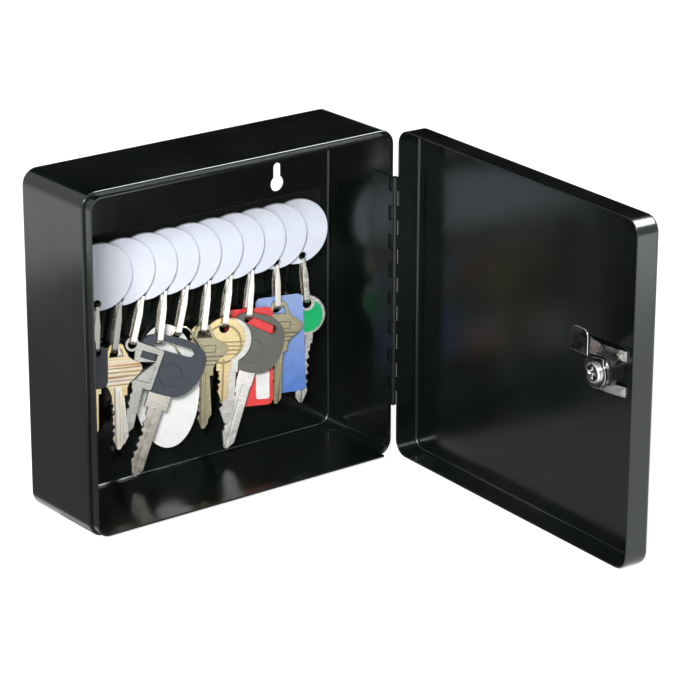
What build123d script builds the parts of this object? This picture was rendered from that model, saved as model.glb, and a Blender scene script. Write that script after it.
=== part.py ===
from build123d import *
from math import atan2, cos, degrees, hypot, radians, sin
import os

os.makedirs("parts", exist_ok=True)

# Wall-mounted steel cash and key box, shown with its door open. Millimetres.
# X runs right and Z up. The back face lies on Y = 0 and the box opens toward -Y.
# The origin is the centre of the back face.

# Case: a drawn sheet-steel pan with a stepped lip round its mouth
case_w = 183.0
case_h = 171.0
case_d = 52.0
sheet = 1.0
corner_r = 8.0
bend_r = 2.5
lip_inset = 1.3
lip_h = 5.2
lip_ring_t = 1.2
step_bend = 0.7
keyhole_x = 58.0
keyhole_z = 51.0
keyhole_r = 4.0
keyhole_slot_w = 4.5
keyhole_slot_h = 8.5

# Door: a drawn pan that closes over the lip
door_gap = 3.6
door_skirt = 13.5
door_open = 87.0
rim_roll = 0.35

# Piano hinge down the right-hand edge
hinge_pitch = 7.5
hinge_gap = 0.2
knuckle_count = 16
hinge_z = 1.25
knuckle_r = 1.4
pin_r = 0.6
pin_fit = 0.05
pin_proud = 0.4
leaf_t = 0.8
case_leaf_reach = 16.0
door_leaf_reach = 11.0
hinge_inset = 0.4
hinge_drop = 1.7
notch_from_pin = 3.3
lip_stop = 8.5
leaf_room = 0.4
weld_r = 1.5
weld_depth = 0.25
weld_pitch = 69.4
weld_from_edge = 2.4

# Cam lock in the door, given as on the closed door
lock_x = -62.0
lock_z = 4.5
lock_r = 8.2
lock_flat = 6.1
lock_len = 7.1
lock_fit = 0.1
flange_r = 10.5
flange_t = 1.2
washer_r = 7.8
washer_t = 1.4
plug_r = 5.0
plug_fit = 0.08
plug_proud = 0.5
plug_round = 0.25
key_slot_w = 1.6
key_slot_h = 7.4
key_slot_d = 3.0
tail_r = 3.0
tail_flat = 2.2
cam_t = 1.6
cam_gap = 0.4
cam_r = 7.8
cam_joggle = 9.7
cam_step_at = 8.8
cam_step_run = 4.0
cam_tip = 24.2
cam_tip_w = 12.2
cam_round = 3.4
screw_head_r = 5.2
screw_head_t = 1.7
screw_dome = 1.2
screw_r = 1.5
screw_len = 5.0
cross_w = 1.4
cross_len = 6.24
cross_d = 1.0
spring_t = 0.8
spring_arm = 5.0
spring_gap = 12.5
spring_bow = 2.6
spring_back = 10.0
spring_prong = 11.0

# Strike bracket inside the left wall
strike_t = 1.0
strike_h = 18.0
strike_reach = 6.0
strike_leg = 12.0
strike_cam_gap = 0.3
strike_round = 2.0

# Tag rack on the back wall
strip_w = 168.0
strip_h = 34.0
strip_t = 1.2
strip_round = 1.2
strip_z = 27.6
tag_count = 10
tag_r = 17.0
tag_t = 1.8
tag_rim_w = 1.3
tag_rim_h = 0.3
tag_label_r = 10.5
tag_pitch = 13.2
tag_last_x = 65.7
tag_y = -6.9
tag_z = 26.0
tag_turn = 10.3
tag_hole_r = 2.3
tag_hole_from_rim = 3.3
dot_r = 5.75
dot_offset = 10.2
hole_side = [-2.0] * 8 + [0.0, 3.0]

# Key clips and what hangs on them
set_turn = 15.0
set_lean = 6.0
clip_t = 0.7
clip_w = 3.0
clip_neck_w = 1.6
clip_neck_half = 1.9
clip_neck_h = 2.4
clip_seat = 0.75
clip_side = [-1.7, -4.1, -6.2, -4.4, -5.9, -4.4, -4.7, -3.1, -0.4, 1.0]
clip_drop = [22.3, 25.0, 23.2, 25.6, 24.0, 25.9, 25.4, 24.6, 22.4, 22.6]
clip_mid = [-0.95, -0.95, -0.55, 0.0, -0.55, -0.15, -0.2, -0.95, -0.7, 0.37]
clip_gape = [4.2, 4.4, 3.2, 4.2, 3.1, 4.2, 4.2, 5.4, 3.6, 3.4]

# Keys, cards and fob
flat_key_t = 1.8
thin_key_t = 1.2
bow_key_t = 1.4
cut_key_t = 1.0
steel_key_t = 2.0
grip_t = 3.0
blade_t = 1.8
blade_w = 5.8
blade_len = 27.0
groove_w = 1.1
groove_d = 0.35
groove_len = 28.2
groove_side = 0.66
groove_mid = -12.0
key_hole_r = 2.5
loop_half = 4.2
loop_top = 4.2
loop_low = -2.2
shoulder_half = 13.2
shoulder_z = -9.6
waist_half = 5.2
waist_z = -15.4
stop_low = -21.8
head_one_w = 18.0
head_one_h = 20.6
head_one_round = 3.5
window_w = 8.6
window_h = 3.6
panel_w = 8.4
panel_h = 9.6
panel_line = 0.6
grip_slot_h = 4.6
tang_len = 6.0
mark_r = 6.2
mark_w = 0.5
cap_r = 8.6
cap_hole_r = 4.4
cap_t = 0.4
card_w = 25.6
card_h = 50.5
card_t = 0.6
card_round = 3.0
fob_w = 34.4
fob_h = 63.0
fob_t = 0.8
key_04_low = -53.1
key_04_half = 3.8
key_04_outline = [
    (-2.1, 19.0), (8.0, 18.2), (14.6, 14.4), (16.2, 8.4), (13.6, -2.4), (7.4, -9.2),
    (-2.1, -10.4), (-11.6, -9.2), (-17.8, -2.4), (-20.4, 8.4), (-18.8, 14.4), (-12.2, 18.2),
]
key_04_slot = (-2.1, 13.4)
key_04_slot_len = 18.4
key_06_back_low = -46.0
key_06_back_half = 3.6
key_06_back_bow = 5.6
key_07_front_low = -38.5
key_07_front_half = 2.9
key_07_front_bow = 11.1
key_07_back_low = -50.2
key_07_back_half = 4.0
key_07_back_bow = 11.4
key_08_low = -51.0
key_08_half = 3.9
key_08_outline = [
    (0.4, 19.4), (8.4, 18.2), (13.4, 14.2), (15.4, 7.6), (14.0, -3.6), (8.0, -9.4),
    (0.4, -10.8), (-7.2, -9.4), (-13.2, -3.6), (-14.8, 7.6), (-13.0, 14.8), (-7.6, 18.8),
]
key_08_slot = (0.5, 14.2)
key_08_slot_len = 14.6
key_10_low = -52.2
key_10_half = 3.2
key_10_bow = 10.2
wire_r = 0.6
ring_r = 5.4
ring_straight = 10.0

# Places that follow from the sizes above
case_half_w = case_w / 2
lip_inner = lip_inset + sheet
rim_y = case_d + door_gap
door_front = rim_y + door_skirt
pin_x = case_half_w - hinge_inset
pin_y = -(case_d + hinge_drop)
hinge_axis = Axis((pin_x, pin_y, 0), (0, 0, 1))
hinge_len = knuckle_count * hinge_pitch
leaf_x = case_half_w - sheet - leaf_t / 2
lock_back = door_front - sheet - lock_len
cam_face = lock_back - washer_t - cam_gap
strip_face = -(sheet + strip_t)


def swing(piece):
    """Turn a finished door piece from shut to the open position."""
    piece.part = piece.part.rotate(hinge_axis, door_open)


# The case pan: back, walls, outward step and lip
with BuildPart() as case_pan:
    with BuildSketch(Plane.XZ):
        RectangleRounded(case_w, case_h, corner_r)
    extrude(amount=case_d)
    fillet(case_pan.faces().sort_by(Axis.Y)[-1].edges(), radius=bend_r)
    with BuildSketch(Plane.XZ.offset(case_d)):
        RectangleRounded(case_w - 2 * sheet, case_h - 2 * sheet, corner_r - sheet)
    extrude(amount=-(case_d - sheet), mode=Mode.SUBTRACT)
    floor_face = case_pan.faces().filter_by(Axis.Y).sort_by(Axis.Y)[-2]
    fillet(floor_face.edges(), radius=bend_r - sheet)
    with BuildSketch(Plane.XZ.offset(case_d - lip_ring_t)):
        RectangleRounded(case_w - sheet, case_h - sheet, corner_r - sheet / 2)
        RectangleRounded(
            case_w - 2 * lip_inner, case_h - 2 * lip_inner,
            corner_r - lip_inner, mode=Mode.SUBTRACT,
        )
    extrude(amount=lip_ring_t)
    fillet(case_pan.faces().sort_by(Axis.Y)[0].outer_wire().edges(), radius=step_bend)
    with BuildSketch(Plane.XZ.offset(case_d)):
        RectangleRounded(case_w - 2 * lip_inset, case_h - 2 * lip_inset, corner_r - lip_inset)
        RectangleRounded(
            case_w - 2 * lip_inner, case_h - 2 * lip_inner,
            corner_r - lip_inner, mode=Mode.SUBTRACT,
        )
    extrude(amount=lip_h)
    # The lip stops short of the hinged side, and the step makes room for the leaf
    with BuildSketch(Plane.XZ.offset(case_d)):
        with Locations((case_half_w - lip_stop, 0)):
            Rectangle(2 * lip_stop, case_h, align=(Align.MIN, Align.CENTER))
    extrude(amount=2 * lip_h, mode=Mode.SUBTRACT)
    with BuildSketch(Plane.XY.offset(hinge_z - hinge_len / 2 - leaf_room)):
        with Locations((case_half_w - sheet, -case_d + 2 * lip_ring_t)):
            Rectangle(2 * lip_inner, 4 * lip_ring_t, align=(Align.MAX, Align.MAX))
    extrude(amount=hinge_len + 2 * leaf_room, mode=Mode.SUBTRACT)
    # Keyhole slots for two wall screws
    for side in (-1, 1):
        with BuildSketch(Plane.XZ):
            with Locations((side * keyhole_x, keyhole_z)):
                Circle(keyhole_r)
            with Locations((side * keyhole_x, keyhole_z + keyhole_slot_h / 2)):
                SlotCenterToCenter(keyhole_slot_h, keyhole_slot_w, rotation=90)
        extrude(amount=sheet + bend_r, mode=Mode.SUBTRACT)
case_pan.part.label = "case_pan"
export_step(case_pan.part, "parts/case_pan.step")

# The door pan, drawn shut and then swung open
with BuildPart() as door_pan:
    with BuildSketch(Plane.XZ.offset(rim_y)):
        RectangleRounded(case_w, case_h, corner_r)
    extrude(amount=door_skirt)
    fillet(door_pan.faces().sort_by(Axis.Y)[0].edges(), radius=bend_r)
    with BuildSketch(Plane.XZ.offset(rim_y)):
        RectangleRounded(case_w - 2 * sheet, case_h - 2 * sheet, corner_r - sheet)
    extrude(amount=door_skirt - sheet, mode=Mode.SUBTRACT)
    panel_face = door_pan.faces().filter_by(Axis.Y).sort_by(Axis.Y)[1]
    fillet(panel_face.edges(), radius=bend_r - sheet)
    rim_face = door_pan.faces().filter_by(Axis.Y).sort_by(Axis.Y)[-1]
    fillet(rim_face.edges(), radius=rim_roll)
    with BuildSketch(Plane.XZ.offset(door_front - 2 * sheet)):
        with Locations((lock_x, lock_z)):
            Circle(lock_r + lock_fit)
            Rectangle(
                2 * (lock_r + flange_t), 2 * (lock_flat + lock_fit), mode=Mode.INTERSECT
            )
    extrude(amount=3 * sheet, mode=Mode.SUBTRACT)
swing(door_pan)
door_pan.part.label = "door_pan"
export_step(door_pan.part, "parts/door_pan.step")

# Hinge leaves: knuckles in turn on the door and on the case
knuckle_top = hinge_z + hinge_len / 2


def hinge_leaf(first, direction, reach):
    """One leaf with every second knuckle; direction is +1 toward the wall."""
    with BuildPart() as leaf:
        with BuildSketch(Plane.YZ.offset(leaf_x - leaf_t / 2)):
            with Locations((pin_y + direction * (reach + knuckle_r) / 2, hinge_z)):
                Rectangle(reach - knuckle_r, hinge_len)
        extrude(amount=leaf_t)
        for number in range(first, knuckle_count, 2):
            middle = knuckle_top - (number + 0.5) * hinge_pitch
            with BuildSketch(Plane.XY.offset(middle - (hinge_pitch - hinge_gap) / 2)):
                with Locations((pin_x, pin_y)):
                    Circle(knuckle_r)
                with Locations((leaf_x, pin_y + direction * (knuckle_r + hinge_gap) / 2)):
                    Rectangle(leaf_t, knuckle_r + hinge_gap)
            extrude(amount=hinge_pitch - hinge_gap)
        for number in range(1 - first, knuckle_count, 2):
            middle = knuckle_top - (number + 0.5) * hinge_pitch
            with BuildSketch(Plane.XY.offset(middle - (hinge_pitch + hinge_gap) / 2)):
                with Locations((leaf_x, pin_y + direction * notch_from_pin / 2)):
                    Rectangle(2 * leaf_t, notch_from_pin)
            extrude(amount=hinge_pitch + hinge_gap, mode=Mode.SUBTRACT)
        with BuildSketch(Plane.XY.offset(hinge_z - hinge_len)):
            with Locations((pin_x, pin_y)):
                Circle(pin_r + pin_fit)
        extrude(amount=2 * hinge_len, mode=Mode.SUBTRACT)
        # Shallow spot welds in the inner face of the leaf
        for side in (-1, 1):
            with BuildSketch(Plane.YZ.offset(leaf_x - leaf_t / 2)):
                with Locations((pin_y + direction * (reach - weld_from_edge), side * weld_pitch / 2)):
                    Circle(weld_r)
            extrude(amount=weld_depth, mode=Mode.SUBTRACT)
    return leaf


hinge_case_leaf = hinge_leaf(1, 1, case_leaf_reach)
hinge_case_leaf.part.label = "hinge_case_leaf"
export_step(hinge_case_leaf.part, "parts/hinge_case_leaf.step")

hinge_door_leaf = hinge_leaf(0, -1, door_leaf_reach)
swing(hinge_door_leaf)
hinge_door_leaf.part.label = "hinge_door_leaf"
export_step(hinge_door_leaf.part, "parts/hinge_door_leaf.step")

with BuildPart() as hinge_pin:
    with BuildSketch(Plane.XY.offset(hinge_z - hinge_len / 2 - pin_proud)):
        with Locations((pin_x, pin_y)):
            Circle(pin_r)
    extrude(amount=hinge_len + 2 * pin_proud)
    chamfer(hinge_pin.edges().filter_by(GeomType.CIRCLE), length=pin_r / 3)
hinge_pin.part.label = "hinge_pin"
export_step(hinge_pin.part, "parts/hinge_pin.step")

# Lock body: round barrel with two flats, and a flange outside the door
with BuildPart() as lock_body:
    with BuildSketch(Plane.XZ.offset(lock_back)):
        with Locations((lock_x, lock_z)):
            Circle(lock_r)
            Rectangle(2 * lock_r, 2 * lock_flat, mode=Mode.INTERSECT)
    extrude(amount=door_front - lock_back)
    with BuildSketch(Plane.XZ.offset(door_front)):
        with Locations((lock_x, lock_z)):
            Circle(flange_r)
    extrude(amount=flange_t)
    fillet(lock_body.faces().sort_by(Axis.Y)[0].outer_wire().edges(), radius=flange_t / 2)
    with BuildSketch(Plane.XZ.offset(lock_back)):
        with Locations((lock_x, lock_z)):
            Circle(plug_r + plug_fit)
    extrude(amount=door_front + flange_t - lock_back, mode=Mode.SUBTRACT)
swing(lock_body)
lock_body.part.label = "lock_body"
export_step(lock_body.part, "parts/lock_body.step")

# Lock plug: keyway at the front, flatted tail and screw hole at the back
tail_end = cam_face - cam_t
with BuildPart() as lock_plug:
    with BuildSketch(Plane.XZ.offset(cam_face)):
        with Locations((lock_x, lock_z)):
            Circle(plug_r)
    extrude(amount=door_front + flange_t + plug_proud - cam_face)
    fillet(lock_plug.edges().sort_by(Axis.Y)[0], radius=plug_round)
    with BuildSketch(Plane.XZ.offset(tail_end)):
        with Locations((lock_x, lock_z)):
            Circle(tail_r)
            Rectangle(2 * tail_flat, 2 * tail_r, mode=Mode.INTERSECT)
    extrude(amount=cam_t)
    with BuildSketch(Plane.XZ.offset(door_front + flange_t + plug_proud)):
        with Locations((lock_x, lock_z)):
            Rectangle(key_slot_w, key_slot_h)
    extrude(amount=-key_slot_d, mode=Mode.SUBTRACT)
    with BuildSketch(Plane.XZ.offset(tail_end)):
        with Locations((lock_x, lock_z)):
            Circle(screw_r)
    extrude(amount=screw_len, mode=Mode.SUBTRACT)
swing(lock_plug)
lock_plug.part.label = "lock_plug"
export_step(lock_plug.part, "parts/lock_plug.step")

# Bright washer between the barrel and the cam, turning with the plug
with BuildPart() as lock_washer:
    with BuildSketch(Plane.XZ.offset(cam_face)):
        with Locations((lock_x, lock_z)):
            Circle(washer_r)
            Circle(plug_r + plug_fit, mode=Mode.SUBTRACT)
    extrude(amount=washer_t)
swing(lock_washer)
lock_washer.part.label = "lock_washer"
export_step(lock_washer.part, "parts/lock_washer.step")

# Cam: pressed strip with a joggle; it points up when unlocked
tip_face = cam_face - cam_t - cam_joggle
with BuildPart() as lock_cam:
    with BuildSketch(Plane.YZ.offset(lock_x)):
        with BuildLine():
            Polyline(
                (-cam_face, lock_z - cam_r),
                (-cam_face, lock_z + cam_step_at),
                (-cam_face + cam_joggle, lock_z + cam_step_at + cam_step_run),
                (-cam_face + cam_joggle, lock_z + cam_tip),
                (-tip_face, lock_z + cam_tip),
                (-tip_face, lock_z + cam_step_at + cam_step_run - cam_t / 2),
                (-tail_end, lock_z + cam_step_at - cam_t / 2),
                (-tail_end, lock_z - cam_r),
                close=True,
            )
        make_face()
    extrude(amount=cam_r, both=True)
    with BuildSketch(Plane.XZ):
        with Locations((lock_x, lock_z)):
            Circle(cam_r)
        with Locations((lock_x, lock_z + cam_tip)):
            Rectangle(cam_tip_w, cam_tip, align=(Align.CENTER, Align.MAX))
    extrude(amount=door_front, mode=Mode.INTERSECT)
    tip_corners = lock_cam.edges().filter_by(Axis.Y).group_by(Axis.Z)[-1]
    fillet(tip_corners, radius=cam_round)
    with BuildSketch(Plane.XZ.offset(tail_end)):
        with Locations((lock_x, lock_z)):
            Circle(tail_r + plug_fit)
            Rectangle(
                2 * (tail_flat + plug_fit), 2 * (tail_r + plug_fit), mode=Mode.INTERSECT
            )
    extrude(amount=cam_t, mode=Mode.SUBTRACT)
swing(lock_cam)
lock_cam.part.label = "lock_cam"
export_step(lock_cam.part, "parts/lock_cam.step")

# Cross-recess screw that holds the cam on the plug
with BuildPart() as cam_screw:
    with BuildSketch(Plane.XZ.offset(tail_end - screw_head_t)):
        with Locations((lock_x, lock_z)):
            Circle(screw_head_r)
    extrude(amount=screw_head_t)
    fillet(cam_screw.edges().sort_by(Axis.Y)[-1], radius=screw_dome)
    with BuildSketch(Plane.XZ.offset(tail_end)):
        with Locations((lock_x, lock_z)):
            Circle(screw_r - plug_fit)
    extrude(amount=screw_len - cam_gap)
    with BuildSketch(Plane.XZ.offset(tail_end - screw_head_t)):
        with Locations((lock_x, lock_z)):
            Rectangle(cross_w, cross_len)
            Rectangle(cross_len, cross_w)
    extrude(amount=cross_d, mode=Mode.SUBTRACT)
swing(cam_screw)
cam_screw.part.label = "cam_screw"
export_step(cam_screw.part, "parts/cam_screw.step")

# Spring fork that grips the barrel flats and bows off the panel
panel_y = -(door_front - sheet)
fork_in = lock_x + lock_r + spring_back
fork_out = lock_x - spring_prong
fork_mid = (fork_in + fork_out) / 2
with BuildPart() as lock_clip:
    with BuildSketch(Plane.XY.offset(lock_z)):
        with BuildLine():
            ThreePointArc(
                (fork_out, panel_y), (fork_mid, panel_y + spring_bow), (fork_in, panel_y)
            )
            Line((fork_in, panel_y), (fork_in, panel_y + spring_t))
            ThreePointArc(
                (fork_in, panel_y + spring_t),
                (fork_mid, panel_y + spring_bow + spring_t),
                (fork_out, panel_y + spring_t),
            )
            Line((fork_out, panel_y + spring_t), (fork_out, panel_y))
        make_face()
    extrude(amount=spring_gap / 2 + spring_arm, both=True)
    with BuildSketch(Plane.XZ):
        with Locations((fork_mid, lock_z)):
            Rectangle(fork_in - fork_out + 2 * spring_t, spring_gap + 2 * spring_arm)
        with Locations((lock_x + lock_r + lock_fit, lock_z)):
            Rectangle(
                2 * (lock_r + spring_prong), spring_gap,
                align=(Align.MAX, Align.CENTER), mode=Mode.SUBTRACT,
            )
    extrude(amount=door_front, mode=Mode.INTERSECT)
swing(lock_clip)
lock_clip.part.label = "lock_clip"
export_step(lock_clip.part, "parts/lock_clip.step")

# Strike bracket welded inside the left wall; the turned cam goes behind its tab
strike_wall = -(case_half_w - sheet)
strike_tab = -(cam_face - cam_joggle + strike_cam_gap)
with BuildPart() as strike:
    with BuildSketch(Plane.XY.offset(lock_z - strike_h / 2)):
        with Locations((strike_wall, strike_tab - strike_t)):
            Rectangle(strike_reach, strike_t, align=(Align.MIN, Align.MIN))
            Rectangle(strike_t, strike_leg, align=(Align.MIN, Align.MIN))
    extrude(amount=strike_h)
    fillet(strike.edges().filter_by(Axis.Y).group_by(Axis.X)[-1], radius=strike_round)
strike.part.label = "strike"
export_step(strike.part, "parts/strike.step")

# Loop strip on the back wall
with BuildPart() as loop_strip:
    with BuildSketch(Plane.XZ.offset(sheet)):
        with Locations((0, strip_z)):
            RectangleRounded(strip_w, strip_h, strip_round)
    extrude(amount=strip_t)
loop_strip.part.label = "loop_strip"
export_step(loop_strip.part, "parts/loop_strip.step")


def tag_frame(index):
    """Face plane through the middle of one tag, right edge forward."""
    turn = radians(tag_turn)
    return Plane(
        origin=(tag_last_x - tag_pitch * (tag_count - 1 - index), tag_y, tag_z),
        x_dir=(cos(turn), -sin(turn), 0),
        z_dir=(-sin(turn), -cos(turn), 0),
    )


def tag_hole(index):
    """Place of the clip hole on a tag, measured from its centre."""
    across = hole_side[index]
    reach = tag_r - tag_hole_from_rim
    return across, -((reach * reach - across * across) ** 0.5)


# Round tags, each a thin disc with a raised rim, a label recess and a clip hole
for index in range(tag_count):
    face = tag_frame(index)
    with BuildPart() as tag:
        with BuildSketch(face.offset(-tag_t / 2)):
            Circle(tag_r)
        extrude(amount=tag_t)
        with BuildSketch(face.offset(tag_t / 2)):
            Circle(tag_r - tag_rim_w)
            Circle(tag_label_r + tag_rim_w, mode=Mode.SUBTRACT)
        extrude(amount=-tag_rim_h, mode=Mode.SUBTRACT)
        with BuildSketch(face.offset(tag_t / 2)):
            Circle(tag_label_r)
        extrude(amount=-2 * tag_rim_h, mode=Mode.SUBTRACT)
        with BuildSketch(face.offset(-tag_t / 2)):
            with Locations(tag_hole(index)):
                Circle(tag_hole_r)
        extrude(amount=tag_t, mode=Mode.SUBTRACT)
    name = f"tag_{index + 1:02d}"
    tag.part.label = name
    export_step(tag.part, f"parts/{name}.step")

# Hook dots that hold the tags to the strip, cut flat on the strip's face
with BuildPart() as hook_dots:
    for index in range(tag_count):
        with BuildSketch(tag_frame(index).offset(-tag_t / 2)):
            with Locations((-dot_offset, 0)):
                Circle(dot_r)
        extrude(amount=tag_y - strip_face)
    split(bisect_by=Plane.XZ.offset(-strip_face), keep=Keep.TOP)
hook_dots.part.label = "hook_dots"
export_step(hook_dots.part, "parts/hook_dots.step")


def set_frame(index):
    """Plane of one hanging set, at the neck of its clip, facing forward."""
    place = tag_frame(index).from_local_coords(tag_hole(index))
    turn = radians(set_turn)
    lean = radians(set_lean)
    return Plane(
        origin=(place.X, place.Y, place.Z - tag_hole_r + clip_seat),
        x_dir=(cos(turn), -sin(turn), 0),
        z_dir=(-sin(turn) * cos(lean), -cos(turn) * cos(lean), sin(lean)),
    )


def hang_plane(index, forward, turn=0.0, place=(0.0, 0.0)):
    """Plane of a hanging piece: origin at the clip's lower bar, then turned."""
    frame = set_frame(index)
    spot = frame.from_local_coords(
        (clip_side[index] + place[0], place[1] - clip_drop[index], forward)
    )
    across = frame.x_dir * cos(radians(turn)) + frame.y_dir * sin(radians(turn))
    return Plane(origin=spot, x_dir=across, z_dir=frame.z_dir)


# Clips: a narrow neck through the tag, legs that part, and a rounded lower bar
for index in range(tag_count):
    frame = set_frame(index)
    slope = degrees(atan2(clip_side[index], clip_drop[index]))
    reach = hypot(clip_side[index], clip_drop[index]) - clip_t / 2
    front = Plane(
        origin=frame.origin,
        x_dir=frame.x_dir * cos(radians(slope)) + frame.y_dir * sin(radians(slope)),
        z_dir=frame.z_dir,
    )
    side = Plane(origin=frame.origin, x_dir=front.z_dir, z_dir=front.x_dir * -1)
    half = clip_gape[index] / 2
    middle = clip_mid[index]
    outlines = ((0.0, Mode.ADD), (clip_t, Mode.SUBTRACT))
    with BuildPart() as clip:
        for inward, action in outlines:
            grow = clip_t - inward
            with BuildSketch(side):
                with BuildLine():
                    Polyline(
                        (middle - half - grow, -reach + half),
                        (-clip_neck_half - grow, -clip_neck_h),
                        (-clip_neck_half - grow, grow),
                        (clip_neck_half + grow, grow),
                        (clip_neck_half + grow, -clip_neck_h),
                        (middle + half + grow, -reach + half),
                    )
                    ThreePointArc(
                        (middle + half + grow, -reach + half),
                        (middle, -reach - grow),
                        (middle - half - grow, -reach + half),
                    )
                make_face()
            extrude(amount=clip_w, both=True, mode=action)
        with BuildSketch(front):
            with BuildLine():
                Polyline(
                    (-clip_neck_w / 2, 2 * clip_t),
                    (clip_neck_w / 2, 2 * clip_t),
                    (clip_neck_w / 2, -clip_neck_h),
                    (clip_w / 2, -clip_neck_h - 2 * clip_w),
                    (clip_w / 2, -reach - 2 * clip_t),
                    (-clip_w / 2, -reach - 2 * clip_t),
                    (-clip_w / 2, -clip_neck_h - 2 * clip_w),
                    (-clip_neck_w / 2, -clip_neck_h),
                    close=True,
                )
            make_face()
        extrude(amount=tag_r, both=True, mode=Mode.INTERSECT)
    name = f"clip_{index + 1:02d}"
    clip.part.label = name
    export_step(clip.part, f"parts/{name}.step")


def blade_outline(top, half, bottom, cuts, flip=1.0, lean=0.0):
    """Closed outline of a key blade with cuts down one edge."""
    count = len(cuts)
    pitch = (top - bottom - 2 * half) / (count + 1)
    edge = [(flip * (half + lean), top)]
    for number, cut in enumerate(cuts):
        middle = top - half - (number + 0.5) * pitch
        edge.append((flip * (half + lean), middle + pitch * 0.45))
        edge.append((flip * (half + lean - cut), middle + pitch * 0.12))
        edge.append((flip * (half + lean - cut), middle - pitch * 0.12))
    edge.append((flip * (half + lean), bottom + 2 * half))
    edge.append((flip * (lean + half * 0.2), bottom))
    edge.append((flip * (lean - half * 0.3), bottom))
    edge.append((flip * (lean - half), bottom + half))
    edge.append((flip * (lean - half), top))
    return edge


def shouldered_key(plane, thick, cuts):
    """Flat key with a looped top, broad shoulders and a stop above the blade."""
    low = stop_low - blade_len
    with BuildPart() as key:
        with BuildSketch(plane.offset(-thick / 2)) as bow:
            with BuildLine():
                Polyline(
                    (-loop_half + 1.0, loop_top), (loop_half - 1.0, loop_top),
                    (loop_half + 1.6, loop_low), (shoulder_half - 4.4, shoulder_z + 5.0),
                    (shoulder_half - 0.4, shoulder_z + 2.8), (shoulder_half, shoulder_z),
                    (shoulder_half - 2.6, shoulder_z - 2.8), (waist_half + 1.4, waist_z),
                    (waist_half, waist_z - 2.6), (waist_half, stop_low),
                    (-blade_w / 2, stop_low), (-blade_w / 2 - 1.6, waist_z - 2.2),
                    (-waist_half - 1.4, waist_z), (-shoulder_half + 2.6, shoulder_z - 2.8),
                    (-shoulder_half, shoulder_z), (-shoulder_half + 0.4, shoulder_z + 2.8),
                    (-shoulder_half + 4.4, shoulder_z + 5.0), (-loop_half - 1.6, loop_low),
                    close=True,
                )
            make_face()
            fillet(bow.vertices().group_by(Axis.Y)[-1], radius=1.2)
        extrude(amount=thick)
        with BuildSketch(plane.offset(-thick / 2)):
            with BuildLine():
                Polyline(blade_outline(stop_low, blade_w / 2, low, cuts, -1), close=True)
            make_face()
        extrude(amount=thick)
        with BuildSketch(plane.offset(thick / 2)):
            with Locations((groove_side, stop_low + groove_mid)):
                Rectangle(groove_w, groove_len)
        extrude(amount=-groove_d, mode=Mode.SUBTRACT)
        with BuildSketch(plane.offset(-thick / 2)):
            with BuildLine():
                Polyline(
                    (-loop_half + 1.6, 1.7), (loop_half - 1.6, 1.7),
                    (loop_half - 0.2, loop_low), (-loop_half + 0.2, loop_low), close=True,
                )
            make_face()
        extrude(amount=thick, mode=Mode.SUBTRACT)
    return key


def round_key(plane, thick, bow_r, bow_at, hole_r, low, half, cuts, flip=-1, shift=0.0):
    """Flat key with a round bow."""
    stem = bow_at[0] + shift
    top = bow_at[1] - bow_r
    with BuildPart() as key:
        with BuildSketch(plane.offset(-thick / 2)):
            with Locations(bow_at):
                Circle(bow_r)
            with Locations((stem, top)):
                Rectangle(2 * half + 2.0, bow_r * 0.9)
        extrude(amount=thick)
        with BuildSketch(plane.offset(-thick / 2)):
            with BuildLine():
                Polyline(blade_outline(top, half, low, cuts, flip, flip * stem), close=True)
            make_face()
        extrude(amount=thick)
        with BuildSketch(plane.offset(-thick / 2)):
            with Locations((0.2, -0.5)):
                Circle(hole_r)
        extrude(amount=thick, mode=Mode.SUBTRACT)
    return key


def grip_head(plane, outline, slot_at, slot_len, slot_turn, blade):
    """Plastic head moulded over its blade, with a slot and a round mark."""
    with BuildPart() as head:
        with BuildSketch(plane.offset(-grip_t / 2)):
            with BuildLine():
                Spline(outline, periodic=True)
            make_face()
        extrude(amount=grip_t)
        with BuildSketch(plane.offset(-grip_t / 2)):
            with Locations(slot_at):
                SlotCenterToCenter(slot_len, grip_slot_h, rotation=slot_turn)
        extrude(amount=grip_t, mode=Mode.SUBTRACT)
        with BuildSketch(plane.offset(grip_t / 2)):
            Circle(mark_r)
            Circle(mark_r - mark_w, mode=Mode.SUBTRACT)
        extrude(amount=-groove_d, mode=Mode.SUBTRACT)
        add(blade.part, mode=Mode.SUBTRACT)
    return head


def grip_blade(plane, centre, top, neck_half, neck_low, half, low, cuts):
    """Blade of a moulded-head key, from the tang inside its head."""
    with BuildPart() as blade:
        with BuildSketch(plane.offset(-blade_t / 2)):
            with Locations((centre, top)):
                Rectangle(2 * neck_half, top - neck_low, align=(Align.CENTER, Align.MAX))
        extrude(amount=blade_t)
        with BuildSketch(plane.offset(-blade_t / 2)):
            with BuildLine():
                Polyline(blade_outline(neck_low, half, low, cuts, -1, -centre), close=True)
            make_face()
        extrude(amount=blade_t)
        with BuildSketch(plane.offset(blade_t / 2)):
            with Locations((centre, (neck_low + low) / 2)):
                Rectangle(groove_w, neck_low - low)
        extrude(amount=-groove_d, mode=Mode.SUBTRACT)
    return blade


def save(piece, name):
    """Label one finished piece and write it out."""
    piece.part.label = name
    export_step(piece.part, f"parts/{name}.step")


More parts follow.
